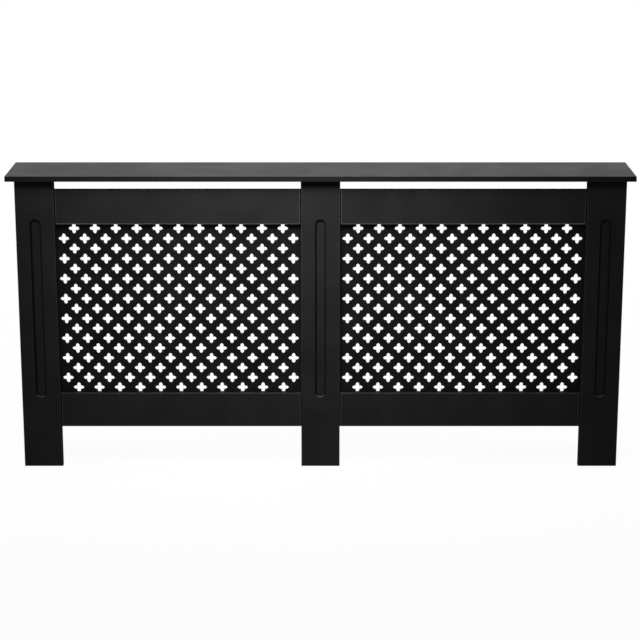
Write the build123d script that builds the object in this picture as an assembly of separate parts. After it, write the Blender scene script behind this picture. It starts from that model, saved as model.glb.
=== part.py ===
from build123d import *
import math
import os

# Radiator cover cabinet. Millimetres, +X to the viewer's right, +Y to the wall, +Z up.
# The origin is on the floor, at the middle of the shelf's outline seen from above.

# ---- Overall sizes ----
overall_width = 1720.0
overall_depth = 190.0
overall_height = 845.0

# ---- Shelf ----
shelf_thickness = 15.0
shelf_side_overhang = 22.0
shelf_front_overhang = 20.0
shelf_arris = 1.2

# ---- Legs ----
leg_width = 108.0
leg_thickness = 18.0
leg_arris = 2.5
groove_width = 30.0
groove_depth = 6.0
groove_cove = 5.5
groove_top_margin = 110.0
groove_bottom_margin = 205.0

# ---- Side panels ----
side_thickness = 15.0
side_arris = 1.0

# ---- The fine chamfers that show the joints of legs, rails and side panels ----
seam_chamfer = 0.6

# ---- Rails ----
rail_setback = 3.0
rail_arris = 3.0
upper_rail_height = 98.0
lower_rail_height = 100.5
floor_gap = 118.0
vent_gap = 27.0

# ---- Grilles: a diagonal lattice of four-lobed holes ----
grille_thickness = 3.0
grille_overlap = 16.0
lattice_pitch = 57.6
lattice_drop = 2.0
lattice_side_margin = 4.0
lobe_tip = 14.6
lobe_waist = 4.6
lobe_bow = 2.4

# ---- Dowels ----
dowel_radius = 4.0
dowel_length = 30.0
dowel_chamfer = 1.0
dowel_clearance = 0.05
dowel_end_room = 1.0
hole_skin = 5.0
rail_dowel_spacing = 60.0
shelf_dowel_spacing = 64.0
side_dowel_margin = 60.0
side_top_dowel_margin = 25.0

# ---- Cam locks ----
cam_bore_radius = 7.5
cam_running_clearance = 0.1
cam_end_clearance = 0.2
cam_skin = 2.0
cam_distance = 24.0
cam_end_margin = 140.0
cam_turn = 180.0
cam_eccentricity = 0.3
cam_chamber_radius = 5.3
cam_slot_overrun = 27.0
cam_mouth_room = 0.5
cam_recess_length = 7.0
cam_recess_width = 1.4
cam_recess_depth = 1.8
cam_pointer_length = 2.2
cam_pointer_depth = 0.5
bolt_thread_radius = 3.0
bolt_root_radius = 2.4
bolt_thread_pitch = 2.5
bolt_clearance = 0.05
bolt_collar_radius = 3.8
bolt_collar_length = 1.0
bolt_shank_radius = 3.0
bolt_shank_end = 8.0
bolt_neck_radius = 2.0
bolt_head_radius = 3.4
bolt_head_start = 3.5
bolt_head_end = 1.0
bolt_head_chamfer = 0.6
bolt_hole_radius = 4.0
bolt_room = 0.3

# ---- Screws, joining plates and wall brackets ----
screw_radius = 1.75
screw_length = 12.0
screw_tip = 3.5
screw_head_radius = 3.4
screw_head_height = 1.8
screw_head_round = 0.9
screw_recess_length = 3.8
screw_recess_width = 0.8
screw_recess_depth = 1.0
screw_clearance = 0.05
screw_hole_play = 0.3
grille_screw_pitch = 160.0
grille_screw_margin = 6.5
plate_length = 60.0
plate_height = 16.0
plate_thickness = 2.0
plate_hole_spacing = 14.0
plate_hole_margin = 9.0
bracket_leg = 30.0
bracket_height = 40.0
bracket_thickness = 2.0
bracket_bend = 3.0
bracket_corner = 4.0
bracket_hole_inset = 18.0
bracket_hole_spacing = 24.0
bracket_hole_radius = 2.5
bracket_drop = 50.0

# ---- Places that follow from the sizes ----
frame_width = overall_width - 2 * shelf_side_overhang
leg_height = overall_height - shelf_thickness
back_y = overall_depth / 2
front_y = -overall_depth / 2 + shelf_front_overhang
leg_back_y = front_y + leg_thickness
rail_front_y = front_y + rail_setback
rail_mid_y = (rail_front_y + leg_back_y) / 2
leg_mid_y = (front_y + leg_back_y) / 2
grille_back_y = leg_back_y + grille_thickness
window_width = (frame_width - 3 * leg_width) / 2
window_x = (leg_width + window_width) / 2
outer_leg_x = (frame_width - leg_width) / 2
side_mid_x = (frame_width - side_thickness) / 2
side_inner_x = frame_width / 2 - side_thickness
lower_rail_top = floor_gap + lower_rail_height
upper_rail_top = leg_height - vent_gap
upper_rail_bottom = upper_rail_top - upper_rail_height
window_height = upper_rail_bottom - lower_rail_top
window_z = (upper_rail_bottom + lower_rail_top) / 2
cam_depth = side_thickness / 2
cam_bore_depth = side_thickness - cam_skin
cam_radius = cam_bore_radius - cam_running_clearance
cam_chamber_half = bolt_head_radius + bolt_room
cam_slot_half = bolt_neck_radius + bolt_room
bolt_thread_length = shelf_thickness - hole_skin
bracket_z = leg_height - bracket_drop
LEFT = -1
RIGHT = 1

# Every hole is kept under the board it is bored in, and every fitting under its node.
bores = {}
fittings = {}


def bore(board, cutter):
    bores.setdefault(board, []).append(cutter)


def fit(node, solid):
    fittings.setdefault(node, []).append(solid)


def block(x_range, y_range, z_range):
    """A board between three pairs of planes."""
    spans = [high - low for low, high in (x_range, y_range, z_range)]
    return Pos(x_range[0], y_range[0], z_range[0]) * Box(*spans, align=(Align.MIN,) * 3)


def rod(origin, direction, radius, length):
    """A round bar that starts at a point and runs one way."""
    frame = Plane(origin=origin, z_dir=direction)
    bar = Cylinder(radius, length, align=(Align.CENTER, Align.CENTER, Align.MIN))
    return frame.location * bar


def step_from(origin, direction, distance):
    return tuple(Vector(*origin) + Vector(*direction) * distance)


def opposite(direction):
    return tuple(-part for part in direction)


# ---- Fastenings ----


def dowel_joint(node, origin, direction, from_board, into_board, depth):
    """A dowel across a joint face, with its given depth in the first board."""
    rest = dowel_length - depth
    hole_radius = dowel_radius + dowel_clearance
    bore(from_board, rod(origin, opposite(direction), hole_radius, depth + dowel_end_room))
    bore(into_board, rod(origin, direction, hole_radius, rest + dowel_end_room))
    start = step_from(origin, opposite(direction), depth)
    pin = rod(start, direction, dowel_radius, dowel_length)
    fit(node, chamfer(pin.edges().filter_by(GeomType.CIRCLE), dowel_chamfer))


def connecting_bolt():
    """The bolt that a cam pulls on. It lies along Y, with the cam's axis on Z."""
    joint_y = -cam_distance
    ridges = int(bolt_thread_length // bolt_thread_pitch)
    ridge = bolt_thread_length / ridges
    outline = [(0, joint_y - bolt_thread_length)]
    for turn in range(ridges):
        start = joint_y - bolt_thread_length + turn * ridge
        outline += [(bolt_root_radius, start), (bolt_thread_radius, start + ridge / 2)]
    outline += [
        (bolt_root_radius, joint_y),
        (bolt_collar_radius, joint_y),
        (bolt_collar_radius, joint_y + bolt_collar_length),
        (bolt_shank_radius, joint_y + bolt_collar_length),
        (bolt_shank_radius, -bolt_shank_end),
        (bolt_neck_radius, -bolt_shank_end),
        (bolt_neck_radius, -bolt_head_start),
        (bolt_head_radius, -bolt_head_start),
        (bolt_head_radius, -bolt_head_end - bolt_head_chamfer),
        (bolt_head_radius - bolt_head_chamfer, -bolt_head_end),
        (0, -bolt_head_end),
    ]
    return revolve(make_face(Polyline(*outline, close=True)), axis=Axis.Y)


def cam_disc():
    """A cam with its axis on Z, locked on a bolt head that comes from -Y."""
    bottom = cam_depth - cam_bore_depth + cam_end_clearance
    top = cam_depth - cam_end_clearance / 2
    disc = Pos(0, 0, (top + bottom) / 2) * Cylinder(cam_radius, top - bottom)
    chamber = Pos(0, cam_eccentricity, 0) * Cylinder(cam_chamber_radius, 2 * cam_chamber_half)
    sweep = cam_turn + 2 * cam_slot_overrun
    on_axis = (Align.NONE, Align.NONE, Align.CENTER)
    slot = Cylinder(cam_bore_radius, 2 * cam_slot_half, arc_size=sweep, align=on_axis)
    slot = Rot(0, 0, 90 - cam_slot_overrun) * slot
    mouth = rod((0, 0, 0), (0, 1, 0), bolt_head_radius + cam_mouth_room, cam_bore_radius)
    recess_z = top - cam_recess_depth / 2
    cross = [
        Pos(0, 0, recess_z) * Rot(0, 0, turn) * Box(cam_recess_length, cam_recess_width, cam_recess_depth)
        for turn in (0, 90)
    ]
    pointer = Pos(0, cam_radius, top) * Box(cam_recess_width, 2 * cam_pointer_length, 2 * cam_pointer_depth)
    return disc - [chamber, slot, mouth, *cross, pointer]


BOLT = connecting_bolt()
CAM = cam_disc()


def cam_joint(name, origin, into_panel, face_normal, panel, mate):
    """A cam lock across a joint face: origin is on that face, on the bolt's axis."""
    centre = step_from(origin, into_panel, cam_distance)
    across = Vector(*into_panel).cross(Vector(*face_normal))
    frame = Plane(origin=centre, x_dir=across, z_dir=face_normal).location
    fit("cam_bolts", frame * BOLT)
    fit(name, frame * CAM)
    mouth = step_from(centre, face_normal, cam_depth)
    bore(panel, rod(mouth, opposite(face_normal), cam_bore_radius, cam_bore_depth))
    bore(panel, rod(origin, into_panel, bolt_hole_radius, cam_distance))
    pilot = bolt_thread_radius + bolt_clearance
    bore(mate, rod(origin, opposite(into_panel), pilot, bolt_thread_length + bolt_room))


def pan_screw():
    """A pan-head screw with its head standing on Z = 0 and its shank going down."""
    outline = Polyline(
        (0, -screw_length),
        (screw_radius, screw_tip - screw_length),
        (screw_radius, 0),
        (screw_head_radius, 0),
        (screw_head_radius, screw_head_height - screw_head_round),
        (screw_head_radius - screw_head_round, screw_head_height),
        (0, screw_head_height),
        close=True,
    )
    body = revolve(Plane.XZ * make_face(outline), axis=Axis.Z)
    recess = Box(screw_recess_length, screw_recess_width, 2 * screw_recess_depth)
    return body - [Pos(0, 0, screw_head_height) * Rot(0, 0, turn) * recess for turn in (0, 90)]


SCREW = pan_screw()


def screw_joint(node, seat, outward, board, under_head):
    """A screw with its head on seat, through a sheet of the given thickness into a board."""
    fit(node, Plane(origin=seat, z_dir=outward).location * SCREW)
    surface = step_from(seat, opposite(outward), under_head)
    depth = screw_length - under_head + screw_clearance
    bore(board, rod(surface, opposite(outward), screw_radius + screw_clearance, depth))


# ---- Boards ----


def rounded_front(board, arris, keep_top_sharp):
    """A board with the edges of its front face rounded."""
    edges = board.faces().sort_by(Axis.Y)[0].edges().sort_by(Axis.Z)
    if keep_top_sharp:
        edges = edges[:-1]
    return fillet(edges, arris)


def make_shelf():
    half_width = overall_width / 2
    half_depth = overall_depth / 2
    board = block((-half_width, half_width), (-half_depth, half_depth), (leg_height, overall_height))
    return fillet(board.edges(), shelf_arris)


def leg_groove(x):
    """The cutter of a leg's upright groove: round ends, flat bottom and coved sides."""
    low = groove_bottom_margin
    high = leg_height - groove_top_margin
    outline = SlotOverall(high - low, groove_width, rotation=90)
    frame = Plane(origin=(x, front_y + groove_depth, (high + low) / 2), x_dir=(1, 0, 0), z_dir=(0, -1, 0))
    cutter = extrude(frame * outline, 2 * groove_depth)
    bottom = cutter.faces().sort_by(Axis.Y)[-1]
    return fillet(bottom.edges(), groove_cove)


def make_leg(x):
    half = leg_width / 2
    board = block((x - half, x + half), (front_y, leg_back_y), (0, leg_height))
    board = rounded_front(board, leg_arris, keep_top_sharp=True)
    seams = board.faces().sort_by(Axis.Y)[-1].edges().filter_by(Axis.Z)
    return chamfer(seams, seam_chamfer) - leg_groove(x)


def make_side(side):
    outer = side * frame_width / 2
    inner = side * side_inner_x
    board = block((min(outer, inner), max(outer, inner)), (leg_back_y, back_y), (0, leg_height))
    back_edges = board.faces().sort_by(Axis.Y)[-1].edges().filter_by(Axis.Z)
    board = fillet(back_edges, side_arris)
    seams = board.faces().sort_by(Axis.Y)[0].edges().filter_by(Axis.Z)
    return chamfer(seams, seam_chamfer)


def make_rail(side, bottom, height):
    centre = side * window_x
    half = window_width / 2
    board = block((centre - half, centre + half), (rail_front_y, leg_back_y), (bottom, bottom + height))
    board = rounded_front(board, rail_arris, keep_top_sharp=False)
    return chamfer(board.faces().sort_by(Axis.Y)[-1].edges(), seam_chamfer)


def lobed_hole():
    """The outline of one hole: four full lobes with a faint point, each between two bowed arcs."""
    chord = math.hypot(lobe_tip - lobe_waist, lobe_waist)
    bow_x = (lobe_tip + lobe_waist) / 2 + lobe_bow * lobe_waist / chord
    bow_y = lobe_waist / 2 + lobe_bow * (lobe_tip - lobe_waist) / chord
    rise = ThreePointArc((lobe_tip, 0), (bow_x, bow_y), (lobe_waist, lobe_waist))
    fall = ThreePointArc((lobe_waist, lobe_waist), (bow_y, bow_x), (0, lobe_tip))
    arcs = [Rot(0, 0, turn) * arc for turn in (0, 90, 180, 270) for arc in (rise, fall)]
    return Wire(arcs)


def lattice_places():
    """The hole centres in a window, from its middle: rows a half pitch apart, offset in turn.

    The tips of the first and last row may lie behind the rails, but not their waists.
    """
    half_pitch = lattice_pitch / 2
    room = window_width / 2 - lobe_tip - lattice_side_margin
    long_row = 2 * int((room - half_pitch) // lattice_pitch) + 2
    rows = int((window_height / 2 - lobe_waist + lattice_drop) // half_pitch)
    places = []
    for row in range(-rows, rows + 1):
        count = long_row if row % 2 else long_row - 1
        for column in range(count):
            x = (column - (count - 1) / 2) * lattice_pitch
            places.append((x, row * half_pitch - lattice_drop))
    return places


def spread(length, pitch):
    """Evenly spaced places about zero that fill a length at about the given pitch."""
    gaps = max(1, round(length / pitch))
    return [length * (step / gaps - 0.5) for step in range(gaps + 1)]


def grille_screw_places():
    """The screws of a grille, from the window's middle, in the strip behind rails and legs."""
    beyond = grille_overlap - grille_screw_margin
    across = window_width / 2 + beyond
    up = window_height / 2 + beyond
    level = [(x, sign * up) for x in spread(2 * across, grille_screw_pitch) for sign in (-1, 1)]
    upright = [(sign * across, z) for z in spread(2 * up, grille_screw_pitch)[1:-1] for sign in (-1, 1)]
    return level + upright


def make_grille(side):
    hole = lobed_hole()
    screw_hole = Wire.make_circle(screw_radius + screw_hole_play)
    outline = Wire.make_rect(window_width + 2 * grille_overlap, window_height + 2 * grille_overlap)
    gaps = [Pos(x, z) * hole for x, z in lattice_places()]
    gaps += [Pos(x, z) * screw_hole for x, z in grille_screw_places()]
    frame = Plane(origin=(side * window_x, grille_back_y, window_z), x_dir=(1, 0, 0), z_dir=(0, -1, 0))
    return extrude(frame.location * Face(outline, gaps), grille_thickness, dir=(0, -1, 0))


# ---- Joints of the boards ----


def join_rails():
    """Dowels in the rails' ends and a screwed steel plate behind each of those joints."""
    rails = (("upper", upper_rail_bottom, upper_rail_height), ("lower", floor_gap, lower_rail_height))
    for side, word in ((LEFT, "left"), (RIGHT, "right")):
        for level, bottom, height in rails:
            rail = f"{word}_{level}_rail"
            middle = bottom + height / 2
            for leg, leg_side in (("center_front_leg", -side), (f"{word}_front_leg", side)):
                joint_x = side * window_x + leg_side * window_width / 2
                into_leg = (leg_side, 0, 0)
                for offset in (-rail_dowel_spacing / 2, rail_dowel_spacing / 2):
                    origin = (joint_x, rail_mid_y, middle + offset)
                    dowel_joint("rail_dowels", origin, into_leg, rail, leg, dowel_length / 2)
                join_plate(joint_x, leg_side, middle, rail, leg)


def join_plate(joint_x, leg_side, z, rail, leg):
    back = (0, 1, 0)
    seat_y = leg_back_y + plate_thickness
    frame = Plane(origin=(joint_x, leg_back_y, z), x_dir=(0, 0, 1), z_dir=back)
    outline = SlotOverall(plate_length, plate_height, rotation=90)
    plate = frame.location * extrude(outline, plate_thickness)
    for board, direction in ((leg, leg_side), (rail, -leg_side)):
        for place in (plate_hole_margin, plate_hole_margin + plate_hole_spacing):
            x = joint_x + direction * (plate_length / 2 - place)
            seat = (x, seat_y, z)
            screw_joint("plate_screws", seat, back, board, plate_thickness)
            plate -= rod(seat, opposite(back), screw_radius + screw_hole_play, plate_thickness)
    fit("rail_joining_plates", plate)


def join_grilles():
    for side, word in ((LEFT, "left"), (RIGHT, "right")):
        for across, up in grille_screw_places():
            x = side * window_x + across
            z = window_z + up
            if abs(across) <= window_width / 2:
                board = f"{word}_upper_rail" if up > 0 else f"{word}_lower_rail"
            else:
                board = f"{word}_front_leg" if across * side > 0 else "center_front_leg"
            seat = (x, grille_back_y, z)
            screw_joint(f"{word}_grille_screws", seat, (0, 1, 0), board, grille_thickness)


def join_sides():
    """Each side panel to its leg: dowels and two cam locks in the panel's front edge."""
    for side, word in ((LEFT, "left"), (RIGHT, "right")):
        panel = f"{word}_side_panel"
        leg = f"{word}_front_leg"
        x = side * side_mid_x
        into_panel = (0, 1, 0)
        inward = (-side, 0, 0)
        for z in (side_dowel_margin, leg_height / 2, leg_height - side_dowel_margin):
            origin = (x, leg_back_y, z)
            dowel_joint("side_dowels", origin, into_panel, leg, panel, leg_thickness - hole_skin)
        for level, z in (("lower", cam_end_margin), ("upper", leg_height - cam_end_margin)):
            cam_joint(f"{word}_{level}_cam", (x, leg_back_y, z), into_panel, inward, panel, leg)


def join_shelf():
    """The shelf to the legs and side panels: dowels and three cam locks, all from below."""
    down = (0, 0, -1)
    depth = shelf_thickness - hole_skin
    offset = shelf_dowel_spacing / 2
    legs = (("left", -outer_leg_x), ("center", 0.0), ("right", outer_leg_x))
    for word, leg_x in legs:
        for x in (leg_x - offset, leg_x + offset):
            origin = (x, leg_mid_y, leg_height)
            dowel_joint("shelf_dowels", origin, down, "top_shelf", f"{word}_front_leg", depth)
    for side, word in ((LEFT, "left"), (RIGHT, "right")):
        panel = f"{word}_side_panel"
        x = side * side_mid_x
        for y in (leg_back_y + side_top_dowel_margin, back_y - side_top_dowel_margin):
            dowel_joint("shelf_dowels", (x, y, leg_height), down, "top_shelf", panel, depth)
        origin = (x, (leg_back_y + back_y) / 2, leg_height)
        cam_joint(f"{word}_shelf_cam", origin, down, (-side, 0, 0), panel, "top_shelf")
    origin = (0.0, leg_back_y - cam_depth, leg_height)
    cam_joint("center_shelf_cam", origin, down, (0, 1, 0), "center_front_leg", "top_shelf")


def wall_bracket(side):
    """A bent steel angle: one wing on the side panel, the other in the plane of the wall."""
    inner = bracket_leg - bracket_thickness
    outline = make_face(
        Polyline(
            (0, 0),
            (bracket_leg, 0),
            (bracket_leg, -bracket_thickness),
            (bracket_thickness, -bracket_thickness),
            (bracket_thickness, -bracket_leg),
            (0, -bracket_leg),
            close=True,
        )
    )
    angle = extrude(outline, bracket_height / 2, both=True)
    upright = angle.edges().filter_by(Axis.Z)
    heel = upright.sort_by_distance((0, 0, 0))[0]
    angle = fillet(heel, bracket_bend)
    throat = angle.edges().filter_by(Axis.Z).sort_by_distance((bracket_thickness, -bracket_thickness, 0))[0]
    angle = fillet(throat, bracket_bend - bracket_thickness)
    across_sheet = [edge for edge in angle.edges() if math.isclose(edge.length, bracket_thickness)]
    tips = [edge for edge in across_sheet if max(edge.center().X, -edge.center().Y) > inner]
    angle = fillet(tips, bracket_corner)
    for z in (-bracket_hole_spacing / 2, bracket_hole_spacing / 2):
        angle -= rod((bracket_hole_inset, 0, z), (0, -1, 0), bracket_hole_radius, bracket_thickness)
        panel_hole = screw_radius + screw_hole_play
        angle -= rod((0, -bracket_hole_inset, z), (1, 0, 0), panel_hole, bracket_thickness)
    placed = Pos(-side_inner_x, back_y, bracket_z) * angle
    return placed if side == LEFT else mirror(placed, Plane.YZ)


def join_brackets():
    for side, word in ((LEFT, "left"), (RIGHT, "right")):
        fit(f"{word}_wall_bracket", wall_bracket(side))
        for offset in (-bracket_hole_spacing / 2, bracket_hole_spacing / 2):
            seat_x = side * (side_inner_x - bracket_thickness)
            seat = (seat_x, back_y - bracket_hole_inset, bracket_z + offset)
            inward = (-side, 0, 0)
            screw_joint("bracket_screws", seat, inward, f"{word}_side_panel", bracket_thickness)


def make_boards():
    boards = {"top_shelf": make_shelf(), "center_front_leg": make_leg(0.0)}
    for side, word in ((LEFT, "left"), (RIGHT, "right")):
        boards[f"{word}_front_leg"] = make_leg(side * outer_leg_x)
        boards[f"{word}_side_panel"] = make_side(side)
        boards[f"{word}_upper_rail"] = make_rail(side, upper_rail_bottom, upper_rail_height)
        boards[f"{word}_lower_rail"] = make_rail(side, floor_gap, lower_rail_height)
    return {name: board - bores.get(name, []) for name, board in boards.items()}


def main():
    os.makedirs("parts", exist_ok=True)
    join_rails()
    join_grilles()
    join_sides()
    join_shelf()
    join_brackets()
    nodes = make_boards()
    for side, word in ((LEFT, "left"), (RIGHT, "right")):
        nodes[f"{word}_grille"] = make_grille(side)
    for name, solids in fittings.items():
        nodes[name] = Compound([piece for solid in solids for piece in solid.solids()])
    for name, shape in nodes.items():
        export_step(shape, f"parts/{name}.step")
    print(len(nodes), "nodes,", len(lattice_places()), "holes in each grille")


main()
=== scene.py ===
import bmesh
import bpy
import math
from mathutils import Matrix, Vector


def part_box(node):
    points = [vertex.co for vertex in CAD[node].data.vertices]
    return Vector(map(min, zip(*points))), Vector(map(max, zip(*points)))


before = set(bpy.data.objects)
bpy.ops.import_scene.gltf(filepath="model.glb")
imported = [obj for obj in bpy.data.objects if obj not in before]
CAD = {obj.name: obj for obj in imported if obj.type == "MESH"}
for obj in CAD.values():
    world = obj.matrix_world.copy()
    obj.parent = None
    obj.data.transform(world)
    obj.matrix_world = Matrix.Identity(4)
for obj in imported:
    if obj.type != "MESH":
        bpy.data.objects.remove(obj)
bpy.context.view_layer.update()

# Radiator cover cabinet. Metres, +X to the viewer's right, +Y to the wall, +Z up.

# ---- Pieces, by their finish ----

SIDES = ("left", "right")

LEGS = ["left_front_leg", "center_front_leg", "right_front_leg"]
RAILS = [f"{side}_{level}_rail" for side in SIDES for level in ("upper", "lower")]
PANELS = [f"{side}_side_panel" for side in SIDES]
GRILLES = [f"{side}_grille" for side in SIDES]
DOWELS = ["rail_dowels", "side_dowels", "shelf_dowels"]
SIDE_CAMS = [f"{side}_{place}_cam" for side in SIDES for place in ("lower", "upper", "shelf")]
CAMS = SIDE_CAMS + ["center_shelf_cam"]
PLATED = ["cam_bolts", "rail_joining_plates", "left_wall_bracket", "right_wall_bracket"]
SCREWS = ["plate_screws", "left_grille_screws", "right_grille_screws", "bracket_screws"]

# ---- Places on the boards ----

# How far the groove of an outer leg is from the cabinet's middle, and half a groove's width.
OUTER_LEG_X = sum(corner[0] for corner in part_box("right_front_leg")) / 2
GROOVE_HALF = 0.0155
WINDOW_Z = (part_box("left_upper_rail")[0][2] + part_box("left_lower_rail")[1][2]) / 2
# How far the ends of the rails, where they meet the legs, are from the cabinet's middle.
RAIL_ENDS = (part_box("right_upper_rail")[0][0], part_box("right_upper_rail")[1][0])
# How far along a rail its end gets painted shade, and how far the painted highlight on the arris
# beside that reaches.
JOINT_REACH = 0.0022
JOINT_ARRIS_REACH = 0.0046


# ---- Shader maths ----


class Value:
    """An output socket, on which sums are written as plain expressions."""

    def __init__(self, tree, socket):
        self.tree = tree
        self.socket = socket

    def math(self, operation, *others):
        return self.tree.node("Math", dict(enumerate((self, *others))), operation=operation)

    def __add__(self, other):
        return self.math("ADD", other)

    def __sub__(self, other):
        return self.math("SUBTRACT", other)

    def __rsub__(self, other):
        return self.tree.node("Math", {0: other, 1: self}, operation="SUBTRACT")

    def __mul__(self, other):
        return self.math("MULTIPLY", other)

    def __gt__(self, other):
        return self.math("GREATER_THAN", other)

    def __lt__(self, other):
        return self.math("LESS_THAN", other)

    def __abs__(self):
        return self.math("ABSOLUTE")

    __radd__ = __add__
    __rmul__ = __mul__

    def ramp(self, low=0.3, high=0.7):
        """0 below low, 1 above high and smooth between. The defaults suit a noise's middle."""
        values = {"Value": self, "From Min": low, "From Max": high}
        return self.tree.node("MapRange", values, interpolation_type="SMOOTHSTEP")

    def between(self, low, high):
        """low where a mask is 0, and high where it is 1."""
        return self * (high - low) + low


def in_use(sockets, name):
    """A node's socket, by its place or its name among those that its settings leave in use."""
    shown = [socket for socket in sockets if socket.enabled]
    if isinstance(name, int):
        return shown[name]
    return {socket.name: socket for socket in shown}[name]


class Tree:
    """The nodes of the world or of a material."""

    def __init__(self, owner):
        owner.use_nodes = True
        self.nodes = owner.node_tree.nodes
        self.links = owner.node_tree.links

    def node(self, kind, values=None, output=0, **settings):
        """A new node, given its settings first, then the values or links of its sockets."""
        made = self.nodes.new("ShaderNode" + kind)
        for setting, value in settings.items():
            setattr(made, setting, value)
        for name, value in (values or {}).items():
            self.feed(in_use(made.inputs, name), value)
        return Value(self, in_use(made.outputs, output))

    def feed(self, socket, value):
        if isinstance(value, Value):
            self.links.new(value.socket, socket)
        else:
            socket.default_value = value

    def seen_directly(self):
        """1 where a ray comes from the camera, a gloss or a transmission."""
        kinds = ("Is Camera Ray", "Is Glossy Ray", "Is Transmission Ray")
        camera, gloss, through = [self.node("LightPath", output=kind) for kind in kinds]
        return camera.math("MAXIMUM", gloss).math("MAXIMUM", through)

    def show(self, output, lit, white, share):
        """Feeds the output a lit shader, with a white one mixed in by its share."""
        mixed = self.node("MixShader", {0: share, 1: Value(self, lit.outputs[0]), 2: white})
        self.feed(self.nodes[output].inputs["Surface"], mixed)


class Finish(Tree):
    """A material under construction: one principled shader and the nodes that feed it."""

    def __init__(self, name, **constants):
        self.material = bpy.data.materials.new(name)
        super().__init__(self.material)
        self.shader = self.nodes["Principled BSDF"]
        self.set(**constants)

    def set(self, **values):
        for socket, value in values.items():
            self.feed(self.shader.inputs[socket.replace("_", " ")], value)
        return self.material

    def place(self):
        return self.node("TexCoord", output="Object")

    def split(self, vector):
        """The X, Y and Z of a vector."""
        parts = self.node("SeparateXYZ", {"Vector": vector})
        return [Value(self, output) for output in parts.socket.node.outputs]

    def normal(self):
        """Which way the bare surface faces, along X, Y and Z."""
        return self.split(self.node("NewGeometry", output="True Normal"))

    def noise(self, scale, detail=2.0, stretch=(1.0, 1.0, 1.0)):
        """Noise over the object, with its scale in waves per metre."""
        spot = self.node("Mapping", {"Vector": self.place(), "Scale": stretch})
        return self.node("TexNoise", {"Vector": spot, "Scale": scale, "Detail": detail})

    def mix(self, factor, first, second):
        values = {"Factor": factor, "A": first, "B": second}
        return self.node("Mix", values, data_type="RGBA")

    def bump(self, height, distance):
        self.set(Normal=self.node("Bump", {"Height": height, "Distance": distance}))


def grey(level):
    return (level, level, level, 1)


# ---- Painted boards ----

SHELF_GLOSS = 0.11
BOARD_GLOSS = 0.015
GRILLE_GLOSS = 0.025

# The paint itself, as its darkest and its lightest cloud.
SHELF_PAINT = ((0.0095, 0.0089, 0.0091, 1), (0.0130, 0.0121, 0.0125, 1))
BOARD_PAINT = ((0.0150, 0.0140, 0.0144, 1), (0.0205, 0.0192, 0.0197, 1))
GRILLE_PAINT = ((0.0070, 0.0065, 0.0065, 1), (0.0105, 0.0098, 0.0099, 1))

# The paint where something has happened to it, and the painted shade and painted highlights on
# it.
SOAKED_AND_SHADED = (0.0045, 0.0040, 0.0039, 1)
RUBBED_AND_HIGHLIGHT = (0.048, 0.045, 0.045, 1)
LIP_HIGHLIGHT = (0.11, 0.105, 0.105, 1)
JOINT_SHADE = (0.0015, 0.0013, 0.0013, 1)
COVE_SHADE = (0.0030, 0.0027, 0.0027, 1)
COVE_FOOT_HIGHLIGHT = (0.052, 0.050, 0.049, 1)
ONE_COAT = (0.0285, 0.0245, 0.0215, 1)
HOLE_WALL = (0.012, 0.0105, 0.0095, 1)
SPECK = grey(0.10)

# A board's surface is told by how much of its normal looks along the board's thickness: hardly
# any on a sawn edge, all on a broad face, and more and more over the rounded arris from the one
# to the other. Each range is where a mask goes from 0 to 1.
OFF_THE_EDGE = (0.6, 0.85)
ON_THE_ARRIS = (0.78, 0.88)
ON_THE_LIP = (0.2, 0.4)
ON_THE_FACE = (0.975, 0.9995)
OFF_THE_COVE = (0.985, 0.9995)
HIDDEN_FACE = (0.9, 0.99)

# How rough the satin is, and by how much each thing on it changes that.
SATIN_ROUGH = 0.40
CLOUD_ROUGH = 0.07
GRAIN_ROUGH = 0.06
SAWN_ROUGH = 0.5
ONE_COAT_ROUGH = 0.2
RUBBED_SMOOTH = 0.08
WIPED_SMOOTH = 0.8


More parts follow.
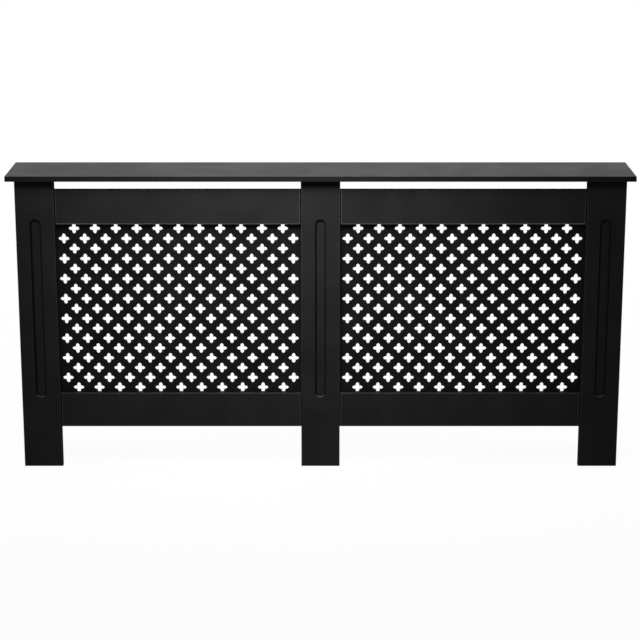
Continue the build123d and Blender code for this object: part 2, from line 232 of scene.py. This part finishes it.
class BoardPaint(Finish):
    """Sprayed black satin paint on fibreboard, whose two broad faces look along flat_axis.

    The broad faces carry a fine orange peel. The sawn edges stay dull where the paint soaks in,
    and are darker still as painted shade. The arrises between them are worn thin, and pale as a
    painted highlight.
    """

    def __init__(self, name, flat_axis, gloss, paint, soaked=0.85):
        super().__init__(name, Specular_IOR_Level=gloss, Coat_IOR=2.0, Coat_Roughness=0.22)
        self.cloud = self.noise(9.0, detail=4.0)
        self.grain = self.noise(2600.0, detail=1.0)
        self.patchiness = self.noise(38.0, detail=4.0).ramp(0.25, 0.6)
        self.facing = self.normal()
        self.flat = abs(self.facing["XYZ".index(flat_axis)])
        self.sawn = 1 - self.flat.ramp(*OFF_THE_EDGE)
        self.turned = 1 - self.flat.ramp(*ON_THE_FACE)
        # Pale arrises: partly random wear, partly a painted highlight along the rounded edges.
        worn = self.patchiness.between(0.45, 1.0)
        self.rubbed_and_highlit = self.flat.ramp(*ON_THE_ARRIS) * self.turned * worn
        self.one_coat = 0.0
        self.wiped = 0.0
        self.polished = 0.0
        streak = self.noise(60.0, stretch=(0.15, 1.0, 0.15))
        self.colour = self.mix((self.cloud * 0.6 + streak * 0.4).ramp(), *paint)
        # Darker sawn edges: partly paint that soaks into the board, partly painted shade on the
        # side faces.
        self.tint(self.sawn * soaked, SOAKED_AND_SHADED)

    def tint(self, share, colour):
        self.colour = self.mix(share, self.colour, colour)

    def thin_coat(self, away):
        """The hidden face got one coat, in patches so thin that the brown board shows through."""
        patches = (self.cloud * 0.5 + self.patchiness * 0.5).ramp(0.3, 0.8)
        self.one_coat = away.ramp(*HIDDEN_FACE) * patches.between(0.35, 1.0)
        self.tint(self.one_coat, ONE_COAT)

    def window_edges(self):
        """The edges along a window: the ledge is wiped smooth, and the lips get a painted
        highlight, the upper lip most, with a glossy coat on it too.
        """
        up = self.facing[2]
        z = self.split(self.place())[2]
        inward = up * (WINDOW_Z - z)
        above = z > WINDOW_Z
        # No painted highlight on the top arris of the upper rail, under the shelf.
        self.rubbed_and_highlit = self.rubbed_and_highlit * (1 - (up > 0.05) * (inward < 0.0))
        self.wiped = (up > 0.9) * (inward > 0.0)
        # The lips of the window get a painted highlight, strongest on the upper rail's lower lip.
        lip = self.flat.ramp(*ON_THE_LIP) * self.turned * (inward > 0.02)
        lip = lip * self.patchiness.between(0.6, 1.0)
        self.tint(lip * above.between(0.16, 0.70), LIP_HIGHLIGHT)
        self.polished = lip * above

    def rail_joints(self):
        """The joints at the ends of a rail get painted shade, with a painted highlight on the
        arris beside them.
        """
        near = abs(self.split(self.place())[0])

        def within(reach):
            return (near < RAIL_ENDS[0] + reach) + (near > RAIL_ENDS[1] - reach)

        front = self.facing[1] < -0.2
        joint = within(JOINT_REACH)
        arris = front * within(JOINT_ARRIS_REACH)
        # Painted shade on the joints, and a painted highlight on the arris beside them.
        self.rubbed_and_highlit = (self.rubbed_and_highlit + arris * 0.8) * (1 - joint)
        self.tint(joint * front, JOINT_SHADE)

    def groove(self):
        """The routed cove gets painted shade on its walls, one wall more than the other, and a
        painted highlight at its foot.
        """
        x = self.split(self.place())[0]
        reach = abs(x)
        outermost = self.facing[0] * x > 0.1
        middle = (reach < GROOVE_HALF) + (abs(reach - OUTER_LEG_X) < GROOVE_HALF)
        cove = middle * (1 - self.flat.ramp(*OFF_THE_COVE))
        foot = self.facing[2].ramp(0.35, 0.65)
        # Painted shade on the cove walls, heavier on the wall facing +X, and a painted highlight
        # at the cove's foot.
        more_shaded_wall = self.facing[0] > 0.0
        # Less painted highlight on the outer arris of each outer leg, and none in the cove.
        self.rubbed_and_highlit = self.rubbed_and_highlit * (1 - outermost * 0.8) * (1 - cove)
        self.tint(cove * (1 - foot) * more_shaded_wall.between(0.45, 0.95), COVE_SHADE)
        self.tint(cove * foot, COVE_FOOT_HIGHLIGHT)

    def done(self):
        # The pale arrises: wear and a painted highlight.
        self.tint(self.rubbed_and_highlit, RUBBED_AND_HIGHLIGHT)
        self.tint((self.grain > 0.74) * 0.10, SPECK)
        rough = self.cloud.ramp(0.35, 0.65) * CLOUD_ROUGH + SATIN_ROUGH
        rough = rough + self.grain * GRAIN_ROUGH + self.sawn * SAWN_ROUGH
        rough = rough + self.one_coat * ONE_COAT_ROUGH
        rough = rough - self.rubbed_and_highlit * RUBBED_SMOOTH - self.wiped * WIPED_SMOOTH
        peel = self.noise(900.0) * self.sawn.between(0.8, 0.3)
        self.bump(peel + self.grain * self.sawn.between(0.2, 1.3), 0.00006)
        return self.set(Base_Color=self.colour, Roughness=rough, Coat_Weight=self.polished)


def shelf_paint():
    return BoardPaint("black_shelf_paint", "Z", SHELF_GLOSS, SHELF_PAINT, soaked=0.3).done()


def leg_paint():
    paint = BoardPaint("black_leg_paint", "Y", BOARD_GLOSS, BOARD_PAINT)
    paint.thin_coat(paint.facing[1])
    paint.groove()
    return paint.done()


def rail_paint():
    paint = BoardPaint("black_rail_paint", "Y", BOARD_GLOSS, BOARD_PAINT)
    paint.thin_coat(paint.facing[1])
    paint.window_edges()
    paint.rail_joints()
    return paint.done()


def panel_paint():
    paint = BoardPaint("black_panel_paint", "X", BOARD_GLOSS, BOARD_PAINT)
    outward = paint.split(paint.place())[0].math("SIGN")
    paint.thin_coat(paint.facing[0] * (0 - outward))
    return paint.done()


def grille_paint():
    """The same paint on the thin pierced board, where the routed hole walls stay duller."""
    paint = Finish("black_grille_paint", Specular_IOR_Level=GRILLE_GLOSS)
    cloud = paint.noise(14.0, detail=3.0)
    peel = paint.noise(1100.0)
    fibre = paint.noise(3200.0)
    wall = 1 - abs(paint.normal()[1]).ramp(0.4, 0.8)
    colour = paint.mix(cloud.ramp(), *GRILLE_PAINT)
    colour = paint.mix(wall * 0.6, colour, HOLE_WALL)
    paint.bump(peel * 0.6 + fibre * wall * 1.5, 0.00007)
    return paint.set(Base_Color=colour, Roughness=0.46 + wall * 0.22 + fibre * 0.05)


# ---- Dowels and fittings ----

BEECH_PALE, BEECH_DARK, BEECH_FLECK = (
    (0.60, 0.40, 0.23, 1),
    (0.45, 0.27, 0.14, 1),
    (0.26, 0.14, 0.07, 1),
)
PLATE_DULL, PLATE_BRIGHT = (0.30, 0.31, 0.32, 1), (0.47, 0.47, 0.46, 1)
ZINC_HOLLOW, ZINC_SKIN = (0.24, 0.25, 0.26, 1), (0.40, 0.41, 0.42, 1)


def bare_beech():
    """Turned beech: pale, with small dark flecks."""
    wood = Finish("bare_beech", Specular_IOR_Level=0.35)
    grain = wood.noise(700.0, detail=3.0)
    fleck = wood.noise(2200.0, detail=1.0)
    colour = wood.mix(grain.ramp(0.35, 0.7), BEECH_PALE, BEECH_DARK)
    colour = wood.mix(fleck.ramp(0.60, 0.68) * 0.5, colour, BEECH_FLECK)
    wood.bump(grain, 0.00008)
    return wood.set(Base_Color=colour, Roughness=0.62 + fleck * 0.1)


def zinc_plate():
    """Bright zinc on pressed or turned steel, with a faint haze and fine scratches."""
    steel = Finish("bright_zinc_plate", Metallic=1.0)
    haze = steel.noise(120.0, detail=4.0)
    scratch = steel.noise(1800.0, stretch=(0.08, 1.0, 1.0))
    colour = steel.mix(haze.ramp(), PLATE_DULL, PLATE_BRIGHT)
    steel.bump(scratch, 0.00002)
    return steel.set(Base_Color=colour, Roughness=0.30 + haze * 0.14 + scratch * 0.08)


def cast_zinc():
    """Die-cast zinc: grey, with a sandy skin and darker hollows."""
    zinc = Finish("die_cast_zinc", Metallic=1.0)
    mottle = zinc.noise(420.0, detail=4.0)
    sand = zinc.noise(3600.0)
    colour = zinc.mix(mottle.ramp(), ZINC_HOLLOW, ZINC_SKIN)
    zinc.bump(sand, 0.00006)
    return zinc.set(Base_Color=colour, Roughness=0.44 + sand * 0.14)


def dress(nodes, material):
    for name in nodes:
        mesh = CAD[name].data
        mesh.materials.clear()
        mesh.materials.append(material)


# ---- Studio ----

# The camera: its focal length and the middle of its lens are in pixels of the 640 px frame.
FRAME_PX = 640
FOCAL_PX = 1800.0
MIDDLE_X_PX = 320.5
MIDDLE_Y_PX = 204.8
SENSOR_MM = 36.0
CAMERA_PLACE = (0.0, -4.875, 1.889)
CAMERA_TILT_DEG = 13.22

# How strongly the world lights the object. Where it is seen, it is white.
AMBIENT = 0.10

# The floor: half its side, and its tone as it lights the object and as it is seen.
FLOOR_HALF = 30.0
FLOOR_BOUNCE = 0.30
FLOOR_TONE = 0.90
# How white it is made near the object, and the distances between which it turns all white.
FLOOR_WHITENESS = 0.955
FLOOR_FADE = (1.0, 2.8)


def make_camera():
    lens = bpy.data.cameras.new("camera")
    lens.sensor_width = SENSOR_MM
    lens.lens = FOCAL_PX * SENSOR_MM / FRAME_PX
    lens.shift_x = (FRAME_PX / 2 - MIDDLE_X_PX) / FRAME_PX
    lens.shift_y = (MIDDLE_Y_PX - FRAME_PX / 2) / FRAME_PX
    camera = bpy.data.objects.new("camera", lens)
    camera.location = CAMERA_PLACE
    camera.rotation_euler = (math.radians(90 - CAMERA_TILT_DEG), 0, 0)
    bpy.context.scene.collection.objects.link(camera)
    bpy.context.scene.camera = camera


def make_world():
    """White where it is seen, and a plain dim grey where it lights the object."""
    world = bpy.data.worlds.new("studio")
    sky = Tree(world)
    dim = sky.nodes["Background"]
    sky.feed(dim.inputs["Color"], grey(1.0))
    sky.feed(dim.inputs["Strength"], AMBIENT)
    white = sky.node("Background", {"Color": grey(1.0)})
    sky.show("World Output", dim, white, sky.seen_directly())
    bpy.context.scene.world = world


def make_floor():
    """A pale floor, seen nearly white with the object's shadow on it, and all white far off."""
    sheet = bmesh.new()
    bmesh.ops.create_grid(sheet, x_segments=1, y_segments=1, size=FLOOR_HALF)
    mesh = bpy.data.meshes.new("floor")
    sheet.to_mesh(mesh)
    sheet.free()
    paint = Finish("pale_floor", Roughness=0.9, Specular_IOR_Level=0.1)
    direct = paint.seen_directly()
    paint.set(Base_Color=direct.between(FLOOR_BOUNCE, FLOOR_TONE))
    away = paint.node("VectorMath", {0: paint.place()}, output="Value", operation="LENGTH")
    whiteness = away.ramp(*FLOOR_FADE).between(FLOOR_WHITENESS, 1.0)
    glow = paint.node("Emission")
    paint.show("Material Output", paint.shader, glow, direct * whiteness)
    mesh.materials.append(paint.material)
    floor = bpy.data.objects.new("floor", mesh)
    bpy.context.scene.collection.objects.link(floor)


def soft_light(name, place, aim, width, height, watts, spread_deg=180, mirrored=True):
    lamp = bpy.data.lights.new(name, "AREA")
    lamp.shape = "RECTANGLE"
    lamp.size = width
    lamp.size_y = height
    lamp.energy = watts
    lamp.spread = math.radians(spread_deg)
    light = bpy.data.objects.new(name, lamp)
    light.location = place
    light.visible_camera = False
    light.visible_glossy = mirrored
    light.rotation_euler = (Vector(aim) - Vector(place)).to_track_quat("-Z", "Y").to_euler()
    bpy.context.scene.collection.objects.link(light)


def make_lights():
    """A narrowed key over the front, one lamp at each end, and a low one behind."""
    place, aim = (-0.2, -1.0, 2.1), (-0.12, 0.0, 0.95)
    soft_light("key", place, aim, width=0.9, height=0.8, watts=11.3, spread_deg=61)
    for name, side in (("left_side", -1), ("right_side", 1)):
        place, aim = (side * 2.4, 0.1, 1.5), (side * 0.8, 0.0, 0.45)
        soft_light(name, place, aim, width=0.8, height=0.8, watts=32)
    place, aim = (0.0, 2.6, 0.55), (0.0, 0.0, 0.45)
    soft_light("back", place, aim, width=2.6, height=0.5, watts=30, mirrored=False)


make_camera()
make_world()
make_floor()
make_lights()
dress(["top_shelf"], shelf_paint())
dress(LEGS, leg_paint())
dress(RAILS, rail_paint())
dress(PANELS, panel_paint())
dress(GRILLES, grille_paint())
dress(DOWELS, bare_beech())
dress(PLATED + SCREWS, zinc_plate())
dress(CAMS, cast_zinc())
bpy.context.scene.view_settings.view_transform = "Standard"
